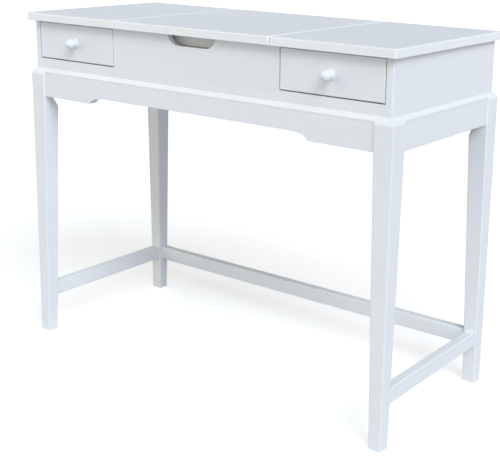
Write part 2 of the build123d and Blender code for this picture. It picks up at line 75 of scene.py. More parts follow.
def placeCamera():
    optics = bpy.data.cameras.new("camera")
    optics.sensor_width = camera["sensor"]
    optics.lens = camera["lens"]
    optics.shift_x = camera["shiftX"]
    optics.shift_y = camera["shiftY"]
    holder = bpy.data.objects.new("camera", optics)
    aim = (Matrix.Rotation(math.radians(camera["turn"]), 4, "Z")
           @ Matrix.Rotation(math.radians(90 + camera["tilt"]), 4, "X")
           @ Matrix.Rotation(math.radians(camera["roll"]), 4, "Z"))
    holder.matrix_world = Matrix.Translation(camera["place"]) @ aim
    scene.collection.objects.link(holder)
    scene.camera = holder


placeCamera()
print("camera placed")


def addNode(tree, kind, **settings):
    node = tree.nodes.new(kind)
    for name, value in settings.items():
        setattr(node, name, value)
    return node


def feed(tree, node, values):
    # gives each socket a value, or links it to the output that stands for one
    for name, value in values.items():
        socket = node.inputs[name]
        if isinstance(value, bpy.types.NodeSocket):
            tree.links.new(value, socket)
        else:
            socket.default_value = value


def mathNode(tree, operation, *values, clamp=False):
    node = addNode(tree, "ShaderNodeMath", operation=operation, use_clamp=clamp)
    feed(tree, node, dict(enumerate(values)))
    return node.outputs[0]


def mixColour(tree, factor, first, second):
    node = addNode(tree, "ShaderNodeMix", data_type="RGBA")
    feed(tree, node, {0: factor, 6: first, 7: second})  # the colour sockets of a Mix node are 6 and 7
    return node.outputs[2]


def between(tree, value, low, high, outLow=0.0, outHigh=1.0):
    # outLow where the value is low, outHigh where it is high, and even steps between
    node = addNode(tree, "ShaderNodeMapRange", clamp=True)
    feed(tree, node, {"Value": value, "From Min": low, "From Max": high,
                      "To Min": outLow, "To Max": outHigh})
    return node.outputs[0]


def stretched(tree, vector, scale):
    node = addNode(tree, "ShaderNodeVectorMath", operation="MULTIPLY")
    feed(tree, node, {0: vector, 1: scale})
    return node.outputs[0]


def noise(tree, vector, scale, detail=3.0, rough=0.5):
    node = addNode(tree, "ShaderNodeTexNoise")
    feed(tree, node, {"Vector": vector, "Scale": scale, "Detail": detail, "Roughness": rough})
    return node.outputs["Fac"]


def newGroup(name, inputs, outputs):
    tree = bpy.data.node_groups.new(name, "ShaderNodeTree")
    for label, kind, value in inputs:
        socket = tree.interface.new_socket(label, in_out="INPUT", socket_type="NodeSocket" + kind)
        socket.default_value = value
    for label, kind in outputs:
        tree.interface.new_socket(label, in_out="OUTPUT", socket_type="NodeSocket" + kind)
    return tree, addNode(tree, "NodeGroupInput").outputs, addNode(tree, "NodeGroupOutput")


wearHighlightFalloff = {
    "starts": 0.995,  # cosine of the angle between the rounded normal and the face's own
    "full": 0.80,
    "least": 0.35,  # what is left of the wear and painted highlight in the patches that were spared
}


def edgeWearHighlightGroup():
    # how far a rounded normal turns from the face's own: 1 on a worn edge, 0 on a flat; on paint the mask
    # gives a painted highlight
    tree, given, result = newGroup("edgeWearHighlight", [
        ("Rounded Normal", "Vector", (0, 0, 1)), ("Position", "Vector", (0, 0, 0)),
        ("Patch Scale", "Float", 60.0), ("Amount", "Float", 0.5),
    ], [("Mask", "Float")])
    ownNormal = addNode(tree, "ShaderNodeNewGeometry").outputs["Normal"]
    facing = addNode(tree, "ShaderNodeVectorMath", operation="DOT_PRODUCT")
    feed(tree, facing, {0: ownNormal, 1: given["Rounded Normal"]})
    bend = between(tree, facing.outputs["Value"], wearHighlightFalloff["starts"], wearHighlightFalloff["full"])
    patches = noise(tree, given["Position"], given["Patch Scale"], detail=4.0, rough=0.6)
    wornHighlit = mathNode(tree, "MULTIPLY", bend, between(tree, patches, 0.35, 0.65, wearHighlightFalloff["least"], 1.0))
    feed(tree, result, {"Mask": mathNode(tree, "MULTIPLY", wornHighlit, given["Amount"], clamp=True)})
    return tree


spraying = {
    "cloudScale": 5.0,
    "clouds": 0.55,  # how much of the shade shows in the clouds
    "brushScale": 55.0,
    "streaks": 0.30,
    "peelHeight": 0.6,
    "streakHeight": 0.5,
    "glossSpread": (-0.05, 0.07),
}


def sprayedPaintGroup():
    # sprayed paint over close-grained board, paler on its edges: wear and painted highlight
    tree, given, result = newGroup("sprayedPaint", [
        ("Position", "Vector", (0, 0, 0)), ("Along", "Vector", (1, 1, 1)),
        ("Colour", "Color", (0.8, 0.8, 0.8, 1)), ("Shade", "Color", (0.7, 0.7, 0.7, 1)),
        ("Worn Highlit Colour", "Color", (0.9, 0.9, 0.9, 1)), ("Wear And Highlight", "Float", 0.0),
        ("Gloss Roughness", "Float", 0.35), ("Peel Scale", "Float", 420.0),
    ], [("Colour", "Color"), ("Roughness", "Float"), ("Height", "Float")])
    cloudy = noise(tree, given["Position"], spraying["cloudScale"], detail=4.0, rough=0.55)
    fibres = stretched(tree, given["Position"], given["Along"])
    streaky = noise(tree, fibres, spraying["brushScale"], detail=5.0, rough=0.6)
    peel = noise(tree, given["Position"], given["Peel Scale"], detail=2.0, rough=0.4)
    tone = mathNode(tree, "ADD", between(tree, cloudy, 0.35, 0.65, 0.0, spraying["clouds"]),
                    between(tree, streaky, 0.3, 0.7, 0.0, spraying["streaks"]))
    painted = mixColour(tree, tone, given["Colour"], given["Shade"])
    feed(tree, result, {
        "Colour": mixColour(tree, given["Wear And Highlight"], painted, given["Worn Highlit Colour"]),
        "Roughness": mathNode(tree, "ADD", given["Gloss Roughness"],
                              between(tree, streaky, 0.25, 0.75, *spraying["glossSpread"])),
        "Height": mathNode(tree, "ADD", mathNode(tree, "MULTIPLY", peel, spraying["peelHeight"]),
                           mathNode(tree, "MULTIPLY", streaky, spraying["streakHeight"])),
    })
    return tree


growth = {
    "rings": 62.0,
    "lateDepth": 0.45,  # how dark the late growth is
    "lateHeight": 0.3,
    "poreScale": 420.0,
    "cloudScale": 4.0,
    "clouds": 0.30,
    "glossSpread": (-0.08, 0.10),
}


def woodGrainGroup():
    # planed wood: long fibres, early and late growth, dark pores
    tree, given, result = newGroup("woodGrain", [
        ("Position", "Vector", (0, 0, 0)), ("Along", "Vector", (1, 1, 1)),
        ("Light", "Color", (0.7, 0.5, 0.3, 1)), ("Dark", "Color", (0.4, 0.3, 0.2, 1)),
        ("Ring Scale", "Float", 38.0), ("Pore Depth", "Float", 0.4), ("Base Roughness", "Float", 0.5),
    ], [("Colour", "Color"), ("Roughness", "Float"), ("Height", "Float")])
    fibres = stretched(tree, given["Position"], given["Along"])
    figure = noise(tree, fibres, given["Ring Scale"], detail=3.0, rough=0.55)
    rings = mathNode(tree, "SINE", mathNode(tree, "MULTIPLY", figure, growth["rings"]))
    late = between(tree, rings, -0.2, 1.0)
    cloudy = noise(tree, given["Position"], growth["cloudScale"])
    fine = noise(tree, fibres, growth["poreScale"], detail=4.0, rough=0.65)
    pored = mathNode(tree, "MULTIPLY", between(tree, fine, 0.56, 0.66), given["Pore Depth"])
    darkened = mathNode(tree, "MULTIPLY", late, growth["lateDepth"])
    board = mixColour(tree, darkened, given["Light"], given["Dark"])
    board = mixColour(tree, between(tree, cloudy, 0.3, 0.7, 0.0, growth["clouds"]), board, given["Dark"])
    raised = mathNode(tree, "MULTIPLY", late, growth["lateHeight"])
    feed(tree, result, {
        "Colour": mixColour(tree, pored, board, given["Dark"]),
        "Roughness": mathNode(tree, "ADD", given["Base Roughness"],
                              between(tree, fine, 0.3, 0.7, *growth["glossSpread"])),
        "Height": mathNode(tree, "SUBTRACT", raised, pored),
    })
    return tree


plating = {
    "lineScale": 900.0,
    "blotchScale": 130.0,
    "dullness": 0.7,  # of the dull patches
    "dullRoughness": 0.18,  # what a dull patch adds
}


def platedSteelGroup():
    # plated steel: fine draw lines, dull patches, finger marks
    tree, given, result = newGroup("platedSteel", [
        ("Position", "Vector", (0, 0, 0)), ("Along", "Vector", (1, 1, 1)),
        ("Bright", "Color", (0.7, 0.7, 0.7, 1)), ("Dull", "Color", (0.5, 0.5, 0.5, 1)),
        ("Base Roughness", "Float", 0.25), ("Wear And Highlight", "Float", 0.0),
    ], [("Colour", "Color"), ("Roughness", "Float"), ("Height", "Float")])
    drawn = stretched(tree, given["Position"], given["Along"])
    lines = noise(tree, drawn, plating["lineScale"], detail=3.0, rough=0.6)
    spots = noise(tree, given["Position"], plating["blotchScale"], detail=4.0, rough=0.6)
    blotch = between(tree, spots, 0.4, 0.7)
    dulled = mixColour(tree, mathNode(tree, "MULTIPLY", blotch, plating["dullness"]),
                       given["Bright"], given["Dull"])
    feed(tree, result, {
        "Colour": mixColour(tree, given["Wear And Highlight"], dulled, given["Bright"]),
        "Roughness": mathNode(tree, "ADD", given["Base Roughness"],
                              mathNode(tree, "MULTIPLY", blotch, plating["dullRoughness"])),
        "Height": lines,
    })
    return tree


wearHighlightTree, paintTree = edgeWearHighlightGroup(), sprayedPaintGroup()
grainTree, platedTree = woodGrainGroup(), platedSteelGroup()
print("shared effects built")


def placeGroup(tree, group, values):
    node = addNode(tree, "ShaderNodeGroup", node_tree=group)
    feed(tree, node, values)
    return node.outputs


def newFinish(name):
    finish = bpy.data.materials.new(name)
    finish.use_nodes = True
    tree = finish.node_tree
    tree.nodes.clear()
    shader = addNode(tree, "ShaderNodeBsdfPrincipled", location=(600, 0))
    out = addNode(tree, "ShaderNodeOutputMaterial", location=(900, 0))
    tree.links.new(shader.outputs[0], out.inputs["Surface"])
    where = addNode(tree, "ShaderNodeTexCoord", location=(-900, 0)).outputs["Object"]
    return finish, tree, shader, where


def roundedNormal(tree, radius):
    node = addNode(tree, "ShaderNodeBevel", samples=6)
    feed(tree, node, {"Radius": radius})
    return node.outputs[0]


def bumped(tree, height, distance, normal=None):
    node = addNode(tree, "ShaderNodeBump")
    feed(tree, node, {"Height": height, "Distance": distance})
    if normal is not None:
        feed(tree, node, {"Normal": normal})
    return node.outputs[0]


def along(tree, where, axis):
    node = addNode(tree, "ShaderNodeSeparateXYZ")
    feed(tree, node, {0: where})
    return node.outputs[axis]


across = {"x": (0.05, 1, 1), "y": (1, 0.05, 1), "z": (1, 1, 0.05)}  # squeezes a pattern into fibres

ledge = {  # the sloped face round the foot of the case, painted a little darker as painted shade on a face that catches much light
    "top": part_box("apron_front")[1].z,
    "drop": 0.014,
    "footFade": 0.0003,  # to either side of its foot
    "topFade": (0.0005, 0.0001),  # above its top: where its coat ends, and where it is whole
    "colour": (0.762, 0.775, 0.790, 1),
    "shade": (0.740, 0.754, 0.770, 1),
}


def onLedge(tree, where):
    height, top, fade = along(tree, where, "Z"), ledge["top"], ledge["footFade"]
    foot = top - ledge["drop"]
    end, whole = ledge["topFade"]
    return mathNode(tree, "MULTIPLY", between(tree, height, foot - fade, foot + fade),
                    between(tree, height, top + end, top + whole))


lidJointHighlight = {  # painted highlight on both boards, where the lid closes between the fixed panels
    "fromMiddle": (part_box("lid_panel")[1].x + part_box("top_right")[0].x) / 2,
    "reach": 0.0064,
    "solid": 0.6,  # of the reach, before the band fades
    "patchScale": 30.0,
    "least": 0.9,
}


# a pale band along each lid joint, broken into patches: painted highlight
def highlightBesideLid(tree, where, upper):
    # the boards meet at the same distance left and right of the middle
    fromMiddle = mathNode(tree, "ABSOLUTE", along(tree, where, "X"))
    fromJoint = mathNode(tree, "ABSOLUTE", mathNode(tree, "SUBTRACT", fromMiddle, lidJointHighlight["fromMiddle"]))
    near = between(tree, fromJoint, lidJointHighlight["reach"], lidJointHighlight["reach"] * lidJointHighlight["solid"])
    patches = noise(tree, where, lidJointHighlight["patchScale"])
    patchy = between(tree, patches, 0.35, 0.65, lidJointHighlight["least"], 1.0)
    return mathNode(tree, "MULTIPLY", mathNode(tree, "MULTIPLY", near, upper), patchy)


boardEdgeHighlight = {  # the boards' edges all round, paler than their upper faces: painted highlight on the edges, painted shade on the upper faces
    "top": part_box("lid_panel")[1].z,
    "colour": (0.835, 0.845, 0.855, 1),
    "below": 0.002,  # under the upper face, where the edge has its full colour
    "fades": 0.0008,  # under the upper face, where nothing is left of it
}


def onUpperFace(tree, where):
    top = boardEdgeHighlight["top"]
    return between(tree, along(tree, where, "Z"), top - boardEdgeHighlight["below"], top - boardEdgeHighlight["fades"])


gapShade = {  # painted shade in the narrow gaps round the drawer fronts
    "colour": (0.64, 0.63, 0.62, 1),
    "reach": 0.008,
    "open": 0.40,  # the share of open surroundings at which the painted shade begins, about that of a corner
    "narrow": 0.12,  # and at which it is darkest
}


# darkens the colour where ambient occlusion finds a narrow gap: painted shade
def gapShaded(tree, skin):
    sky = addNode(tree, "ShaderNodeAmbientOcclusion", samples=6)
    feed(tree, sky, {"Distance": gapShade["reach"]})
    deep = between(tree, sky.outputs["AO"], gapShade["open"], gapShade["narrow"])
    return mixColour(tree, deep, skin, gapShade["colour"])


paint = {  # every painted piece, unless its own line in paints says otherwise
    "run": "x",  # the way its brush marks go
    "colour": (0.790, 0.812, 0.838, 1),
    "shade": (0.765, 0.788, 0.815, 1),
    # the paler colour of the edges: wear and painted highlight
    "wornHighlit": (0.97, 0.975, 0.98, 1),
    "wearAndHighlight": 0.75,
    "wearHighlightRadius": None,  # how wide the worn edges and their painted highlight reach, where that is wider than edgeRadius
    "patchScale": 45.0,
    "edgeRadius": 0.0012,
    "roughness": 0.46,
    "reflection": 0.20,
    "peelScale": 420.0,
    "bumpDepth": 0.00006,
    "ledge": False,
    "lidJointHighlight": False,
    "shadedGaps": False,
}
paints = {
    "whitePaintX": {"ledge": True},
    "whitePaintY": {"ledge": True, "run": "y"},
    "whitePaintZ": {"ledge": True, "run": "z"},
    "topShadedPaint": {
        "run": "y", "roughness": 0.44, "edgeRadius": 0.0018, "wearAndHighlight": 2.5, "wearHighlightRadius": 0.006,
        # the upper faces' darker colour is painted shade
        "colour": (0.731, 0.755, 0.796, 1), "shade": (0.708, 0.733, 0.774, 1), "lidJointHighlight": True,
    },
    # paler and greener than the other paint, to lift the shade on the frame seen through the finger notch:
    # painted light
    "mirrorFrameLightenedPaint": {"colour": (0.85, 0.865, 0.85, 1), "shade": (0.83, 0.845, 0.83, 1), "wearAndHighlight": 0.3},
    "knobPaint": {"run": "y", "roughness": 0.30},
    # the drawer fronts carry painted shade in their gaps and a painted highlight on their edges
    "drawerPaint": {"shadedGaps": True, "wearAndHighlight": 2.2, "wearHighlightRadius": 0.0032},
}


def makePaint(name):
    coat = {**paint, **paints[name]}
    finish, tree, shader, where = newFinish(name)
    soft = roundedNormal(tree, coat["edgeRadius"])
    wearHighlightNormal = roundedNormal(tree, coat["wearHighlightRadius"]) if coat["wearHighlightRadius"] else soft
    bright = placeGroup(tree, wearHighlightTree, {
        "Rounded Normal": wearHighlightNormal, "Position": where,
        "Patch Scale": coat["patchScale"], "Amount": coat["wearAndHighlight"],
    })["Mask"]
    colour, shade = coat["colour"], coat["shade"]
    # painted shade on the sloped face round the case's foot
    if coat["ledge"]:
        sloped = onLedge(tree, where)
        colour = mixColour(tree, sloped, colour, ledge["colour"])
        shade = mixColour(tree, sloped, shade, ledge["shade"])
    if coat["lidJointHighlight"]:
        # the edges turn paler than the painted shade of the upper faces, and the lid joints take the painted
        # highlight
        upper = onUpperFace(tree, where)
        colour = mixColour(tree, upper, boardEdgeHighlight["colour"], colour)
        shade = mixColour(tree, upper, boardEdgeHighlight["colour"], shade)
        bright = mathNode(tree, "MAXIMUM", bright, highlightBesideLid(tree, where, upper))
    film = placeGroup(tree, paintTree, {
        "Position": where, "Along": across[coat["run"]], "Colour": colour, "Shade": shade,
        "Worn Highlit Colour": coat["wornHighlit"], "Wear And Highlight": bright,
        "Gloss Roughness": coat["roughness"], "Peel Scale": coat["peelScale"],
    })
    feed(tree, shader, {
        "Base Color": gapShaded(tree, film["Colour"]) if coat["shadedGaps"] else film["Colour"],
        "Roughness": film["Roughness"],
        "Normal": bumped(tree, film["Height"], coat["bumpDepth"], soft),
        "Specular IOR Level": coat["reflection"],
    })
    return finish


wood = {
    "light": (0.62, 0.43, 0.245, 1),
    "dark": (0.44, 0.275, 0.14, 1),
    "pores": 0.4,
    "ringScale": 26.0,
    "roughness": 0.42,
    "edgeRadius": 0.0008,
    "bumpDepth": 0.00012,
}
plywood = {
    **wood,
    "light": (0.66, 0.49, 0.31, 1),
    "dark": (0.50, 0.34, 0.19, 1),
    "pores": 0.25,
    "ringScale": 12.0,
}


def makeWood(name, run, board=wood):
    finish, tree, shader, where = newFinish(name)
    soft = roundedNormal(tree, board["edgeRadius"])
    grain = placeGroup(tree, grainTree, {
        "Position": where, "Along": across[run], "Light": board["light"], "Dark": board["dark"],
        "Ring Scale": board["ringScale"], "Pore Depth": board["pores"], "Base Roughness": board["roughness"],
    })
    feed(tree, shader, {"Base Color": grain["Colour"], "Roughness": grain["Roughness"],
                        "Normal": bumped(tree, grain["Height"], board["bumpDepth"], soft)})
    return finish


zincPlate = {
    "run": "z",
    "bright": (0.72, 0.73, 0.74, 1),
    "dull": (0.48, 0.49, 0.50, 1),
    "roughness": 0.30,
    "wearAndHighlight": 0.6,
    "patchScale": 200.0,
    "edgeRadius": 0.0004,
    "bumpDepth": 0.00003,
}
nickelPlate = {
    **zincPlate,
    "run": "x",
    "bright": (0.70, 0.70, 0.70, 1),
    "dull": (0.53, 0.53, 0.53, 1),
    "roughness": 0.24,
}


def makeSteel(name, steel):
    finish, tree, shader, where = newFinish(name)
    soft = roundedNormal(tree, steel["edgeRadius"])
    wearAndHighlight = placeGroup(tree, wearHighlightTree, {"Rounded Normal": soft, "Position": where,
                                       "Patch Scale": steel["patchScale"], "Amount": steel["wearAndHighlight"]})
    plate = placeGroup(tree, platedTree, {
        "Position": where, "Along": across[steel["run"]], "Bright": steel["bright"], "Dull": steel["dull"],
        "Base Roughness": steel["roughness"], "Wear And Highlight": wearAndHighlight["Mask"],
    })
    feed(tree, shader, {"Base Color": plate["Colour"], "Roughness": plate["Roughness"], "Metallic": 1.0,
                        "Normal": bumped(tree, plate["Height"], steel["bumpDepth"], soft)})
    return finish


mirror = {
    "colour": (0.90, 0.925, 0.925, 1),
    "edge": (0.62, 0.70, 0.69, 1),
    "edgeRadius": 0.0015,
    "edgeWearHighlight": 0.9,
    "patchScale": 80.0,
    "roughness": 0.02,
    "smearScale": 14.0,
    "smearRoughness": 0.09,
    "wipedWay": (1, 0.4, 1),  # smears run from front to back
}


def makeMirror():
    finish, tree, shader, where = newFinish("silveredMirror")
    soft = roundedNormal(tree, mirror["edgeRadius"])
    rim = placeGroup(tree, wearHighlightTree, {"Rounded Normal": soft, "Position": where,
                                      "Patch Scale": mirror["patchScale"], "Amount": mirror["edgeWearHighlight"]})
    wiped = stretched(tree, where, mirror["wipedWay"])
    smear = noise(tree, wiped, mirror["smearScale"], detail=5.0, rough=0.62)
    feed(tree, shader, {
        "Base Color": mixColour(tree, rim["Mask"], mirror["colour"], mirror["edge"]),
        "Roughness": between(tree, smear, 0.55, 0.75, mirror["roughness"], mirror["smearRoughness"]),
        "Metallic": 1.0,
        "Normal": soft,
    })
    return finish


hardboard = {
    "dark": (0.21, 0.12, 0.06, 1),
    "brown": (0.28, 0.17, 0.09, 1),
    "fleck": (0.36, 0.25, 0.15, 1),
    "cloudScale": 18.0,
    "fleckScale": 300.0,
    "bumpDepth": 0.0001,
}


def makeHardboard():
    finish, tree, shader, where = newFinish("hardboard")
    flecks = noise(tree, where, hardboard["fleckScale"], detail=5.0, rough=0.7)
    cloudy = between(tree, noise(tree, where, hardboard["cloudScale"]), 0.3, 0.7)
    pressed = mixColour(tree, cloudy, hardboard["dark"], hardboard["brown"])
    feed(tree, shader, {
        "Base Color": mixColour(tree, between(tree, flecks, 0.45, 0.7), pressed, hardboard["fleck"]),
        "Roughness": between(tree, flecks, 0.3, 0.7, 0.6, 0.8),
        "Normal": bumped(tree, flecks, hardboard["bumpDepth"]),
    })
    return finish


felt = {
    "dark": (0.30, 0.29, 0.27, 1),
    "light": (0.55, 0.54, 0.51, 1),
    "hairScale": 1500.0,
    "bumpDepth": 0.0001,
}


def makeFelt():
    finish, tree, shader, where = newFinish("bumperFelt")
    hairs = noise(tree, where, felt["hairScale"], detail=5.0, rough=0.75)
    feed(tree, shader, {"Base Color": mixColour(tree, hairs, felt["dark"], felt["light"]),
                        "Roughness": between(tree, hairs, 0.3, 0.7, 0.85, 1.0),
                        "Normal": bumped(tree, hairs, felt["bumpDepth"])})
    return finish


painted = {name: makePaint(name) for name in paints}
paintX, paintY, paintZ = (painted["whitePaint" + run] for run in "XYZ")
woodX, woodY = makeWood("drawerWoodX", "x"), makeWood("drawerWoodY", "y")
zinc, nickel = makeSteel("zincSteel", zincPlate), makeSteel("nickelSteel", nickelPlate)

finishByNode = {  # how a node's name starts, or, after _, how it ends; the first that fits is taken
    "leg_": paintZ, "apron_front": paintX, "apron_rear": paintX, "apron_": paintY,
    "stretcher_rear": paintX, "stretcher_": paintY, "corner_": zinc,
    "case_back": paintX, "case_bottom": paintX, "case_side": paintY, "front_": paintX,
    "divider_": paintY, "drawer_runners": woodY, "drawer_stops": woodY,
    "top_": painted["topShadedPaint"], "lid_panel": painted["topShadedPaint"],
    "hinge_": nickel, "stay_": nickel,
    "mirror_frame_": painted["mirrorFrameLightenedPaint"], "mirror_glass": makeMirror(),
    "mirror_backing": makeHardboard(), "mirror_beads": woodX,
    "drawer_left_front": painted["drawerPaint"], "drawer_right_front": painted["drawerPaint"],
    "_side": woodY, "_back": woodX, "_bottom": makeWood("drawerPlywood", "x", plywood),
    "_knob": painted["knobPaint"],
}


def finishOf(name):
    for text, finish in finishByNode.items():
        if name.startswith(text) or (text.startswith("_") and name.endswith(text)):
            return finish
    raise KeyError(name)


for name, part in nodes.items():
    for slot in part.material_slots:
        slot.material = finishOf(name)
print("finishes given to", len(nodes), "nodes")


def addPiece(name, form, body, finish, sharpAt=35):
    bmesh.ops.recalc_face_normals(form, faces=form.faces)
    mesh = bpy.data.meshes.new(name)
    form.to_mesh(mesh)
    form.free()
    for face in mesh.polygons:
        face.use_smooth = True
    mesh.set_sharp_from_angle(angle=math.radians(sharpAt))
    mesh.materials.append(finish)
    piece = bpy.data.objects.new(name, mesh)
    scene.collection.objects.link(piece)
    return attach(piece, body)


def turned(outline, sides):
    # spins (radius, height) points round Z; the outline starts and ends on the axis
    form = bmesh.new()
    points = [form.verts.new((radius, 0, height)) for radius, height in outline]
    lines = [form.edges.new(pair) for pair in zip(points, points[1:])]
    bmesh.ops.spin(form, geom=points + lines, cent=(0, 0, 0), axis=(0, 0, 1), angle=2 * math.pi,
                   steps=sides, use_merge=True)
    bmesh.ops.remove_doubles(form, verts=form.verts, dist=1e-6)
    return form


def aimed(form, place, way):
    # turns a form that stands on Z to face a way, and puts its foot at a place
    turn = Vector(way).to_track_quat("Z", "Y").to_matrix().to_4x4()
    bmesh.ops.transform(form, matrix=Matrix.Translation(place) @ turn, verts=form.verts)
    return form


def joined(forms):
    whole = bmesh.new()
    for form in forms:
        part = bpy.data.meshes.new("part")
        form.to_mesh(part)
        form.free()
        whole.from_mesh(part)
        bpy.data.meshes.remove(part)
    return whole


knob = {
    "tenonRadius": 0.005,
    "tenonLength": 0.010,
    "baseRadius": 0.011,
    "rimHeight": 0.003,
    "rimFoot": ((0.0005, 0), (0.0001, 0.0002), (0, 0.0007)),  # in from the base's radius, up from its foot
    "rimTop": ((0, 0.0006), (0.0002, 0.0001)),  # in from the base's radius, down from the rim's top
    "neckRadius": 0.0058,
    "neckSteps": 10,
    "headRadius": 0.0108,
    "headSteps": 18,
    "reach": 0.0274,
    "sides": 56,
}


def knobOutline():
    head, neck, base, rim = (knob[key] for key in ("headRadius", "neckRadius", "baseRadius", "rimHeight"))
    middle = knob["reach"] - head
    headStart = math.asin(neck / head)
    neckEnd = middle - head * math.cos(headStart)
    outline = [(0, -knob["tenonLength"]), (knob["tenonRadius"], -knob["tenonLength"]),
               (knob["tenonRadius"], 0)]
    outline += [(base - inward, up) for inward, up in knob["rimFoot"]]
    outline += [(base - inward, rim - down) for inward, down in knob["rimTop"]]
    for step in range(1, knob["neckSteps"]):  # a hollow quarter from the rim to the neck
        turn = math.pi / 2 * step / knob["neckSteps"]
        outline.append((base - (base - neck) * math.sin(turn), neckEnd - (neckEnd - rim) * math.cos(turn)))
    for step in range(knob["headSteps"] + 1):  # the ball, from the neck to its tip
        turn = headStart + (math.pi - headStart) * step / knob["headSteps"]
        outline.append((max(head * math.sin(turn), 0), middle - head * math.cos(turn)))
    return outline


for side in ("left", "right"):
    body = "drawer_" + side
    low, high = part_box(body + "_knob")
    seat = Vector(((low.x + high.x) / 2, low.y + knob["reach"], (low.z + high.z) / 2))
    piece = addPiece(body + "_turned_knob", aimed(turned(knobOutline(), knob["sides"]), seat, (0, -1, 0)),
                     body, painted["knobPaint"])
    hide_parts(body + "_knob")
print("knobs turned")

bolt = {
    "radius": 0.004,
    "rootRadius": 0.0034,
    "pitch": 0.00125,
    "threaded": 0.026,  # from the end that carries the nut
    "length": 0.058,
    "endEase": 0.0004,
    "tipLength": 0.004,
    "tipRadius": 0.0012,
    "sides": 20,
    "sharpAt": 20,
}
corners = [(right, rear) for right in (-1, 1) for rear in (-1, 1)]  # -1 left or front, 1 right or rear


def boltOutline():
    root, length = bolt["rootRadius"], bolt["length"]
    outline = [(0, 0), (root - bolt["endEase"], 0)]
    height = bolt["pitch"] / 2
    while height < bolt["threaded"]:
        outline += [(root, height), (bolt["radius"], height + bolt["pitch"] / 2)]
        height += bolt["pitch"]
    return outline + [(root, height), (root, length - bolt["tipLength"]), (bolt["tipRadius"], length),
                      (0, length)]


def legBolts():
    # each bolt points outwards at 45 degrees, and its far end reaches the sides of the bolts' box
    low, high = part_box("corner_bolts")
    middle = (low + high) / 2
    slant = math.sqrt(0.5)
    inset = bolt["radius"] * slant
    for right, rear in corners:
        way = Vector((right, rear, 0)) * slant
        legEnd = Vector((right * (high.x - inset), middle.y + rear * (high.y - middle.y - inset), middle.z))
        yield aimed(turned(boltOutline(), bolt["sides"]), legEnd - way * bolt["length"], way)


piece = addPiece("corner_threaded_bolts", joined(legBolts()), "table", zinc, bolt["sharpAt"])
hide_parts("corner_bolts")
print("bolts threaded")

screw = {  # head radius, height, and half the cross recess
    "bracket": (0.0036, 0.0023, 0.0019),
    "hinge": (0.0027, 0.00015, 0.0015),
    "knob": (0.0040, 0.0024, 0.0021),
}
crossHead = {
    "armWidth": 0.72,  # of a third of the recess's width
    "depth": 0.8,  # of the head's height
    "taper": 0.72,  # of the recess's floor
    "dome": ((0.80, 0.12), (0.95, 0.40), (1.0, 0.75), (1.0, 1.0)),  # of the radius, and down from the top
}


def openEdges(form):
    return [edge for edge in form.edges if edge.is_boundary]


def newPoints(grown):
    return [one for one in grown["geom"] if isinstance(one, bmesh.types.BMVert)]


def screwHead(radius, height, recess):
    # a grid of nine squares, whose middle cross is sunk and whose border grows into the dome
    form = bmesh.new()
    bmesh.ops.create_grid(form, x_segments=3, y_segments=3, size=recess)
    for point in form.verts:
        for axis in (0, 1):
            if abs(point.co[axis]) < recess / 2:
                point.co[axis] *= crossHead["armWidth"]
    arms = []
    for face in form.faces:
        centre = face.calc_center_median()
        if min(abs(centre.x), abs(centre.y)) < recess / 10:
            arms.append(face)
    bmesh.ops.subdivide_edges(form, edges=openEdges(form), cuts=1)
    floor = newPoints(bmesh.ops.extrude_face_region(form, geom=arms))
    bmesh.ops.translate(form, verts=floor, vec=(0, 0, -height * crossHead["depth"]))
    bmesh.ops.scale(form, verts=floor, vec=(crossHead["taper"], crossHead["taper"], 1))
    for wide, down in crossHead["dome"]:
        for point in newPoints(bmesh.ops.extrude_edge_only(form, edges=openEdges(form))):
            flat = point.co.xy.normalized() * (radius * wide)
            point.co = (flat.x, flat.y, -height * down)
    bmesh.ops.holes_fill(form, edges=openEdges(form), sides=0)
    bmesh.ops.translate(form, verts=form.verts, vec=(0, 0, height))
    return form


def drivenHead(kind, place, way, twist):
    # twist is how far the cross has turned, in degrees, which differs from screw to screw
    form = screwHead(*screw[kind])
    bmesh.ops.rotate(form, verts=form.verts, matrix=Matrix.Rotation(math.radians(twist), 3, "Z"))
    return aimed(form, place, way)


bracketScrews = {
    "fromCorner": 0.04554,  # from the aprons' inner corner, along both
    "apart": 0.026,
    "plate": 0.002,
}


def bracketHeads():
    low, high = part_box("corner_brackets")
    middle = (low + high) / 2
    wide, deep = high.x, high.y - middle.y
    fromCorner, plate = bracketScrews["fromCorner"], bracketScrews["plate"]
    for right, rear in corners:
        for up in (-1, 1):
            level = middle.z + up * bracketScrews["apart"] / 2
            onLong = Vector((right * (wide - fromCorner), middle.y + rear * (deep - plate), level))
            onShort = Vector((right * (wide - plate), middle.y + rear * (deep - fromCorner), level))
            yield drivenHead("bracket", onLong, (0, -rear, 0), 17 * up + 31 * rear + 9 * right)
            yield drivenHead("bracket", onShort, (-right, 0, 0), 23 * up + 12 * rear - 40 * right)


hingeScrews = {"hingeLength": 0.060, "leafWidth": 0.010, "spacing": 0.020}


def hingeHeads(level, way):
    # way is 1 for heads that look up, -1 for heads that look down
    low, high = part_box("hinge_case_leaves")
    fromMiddle = high.x - hingeScrews["hingeLength"] / 2
    row = low.y + hingeScrews["leafWidth"] / 2
    for middle in (-fromMiddle, fromMiddle):
        for step in (-1, 0, 1):
            seat = Vector((middle + step * hingeScrews["spacing"], row, level))
            yield drivenHead("hinge", seat, (0, 0, way), 25 * step + 40 * middle)


washer = {"radius": 0.0068, "thickness": 0.0010, "easeIn": 0.0005, "easeDown": 0.0004, "sides": 28}


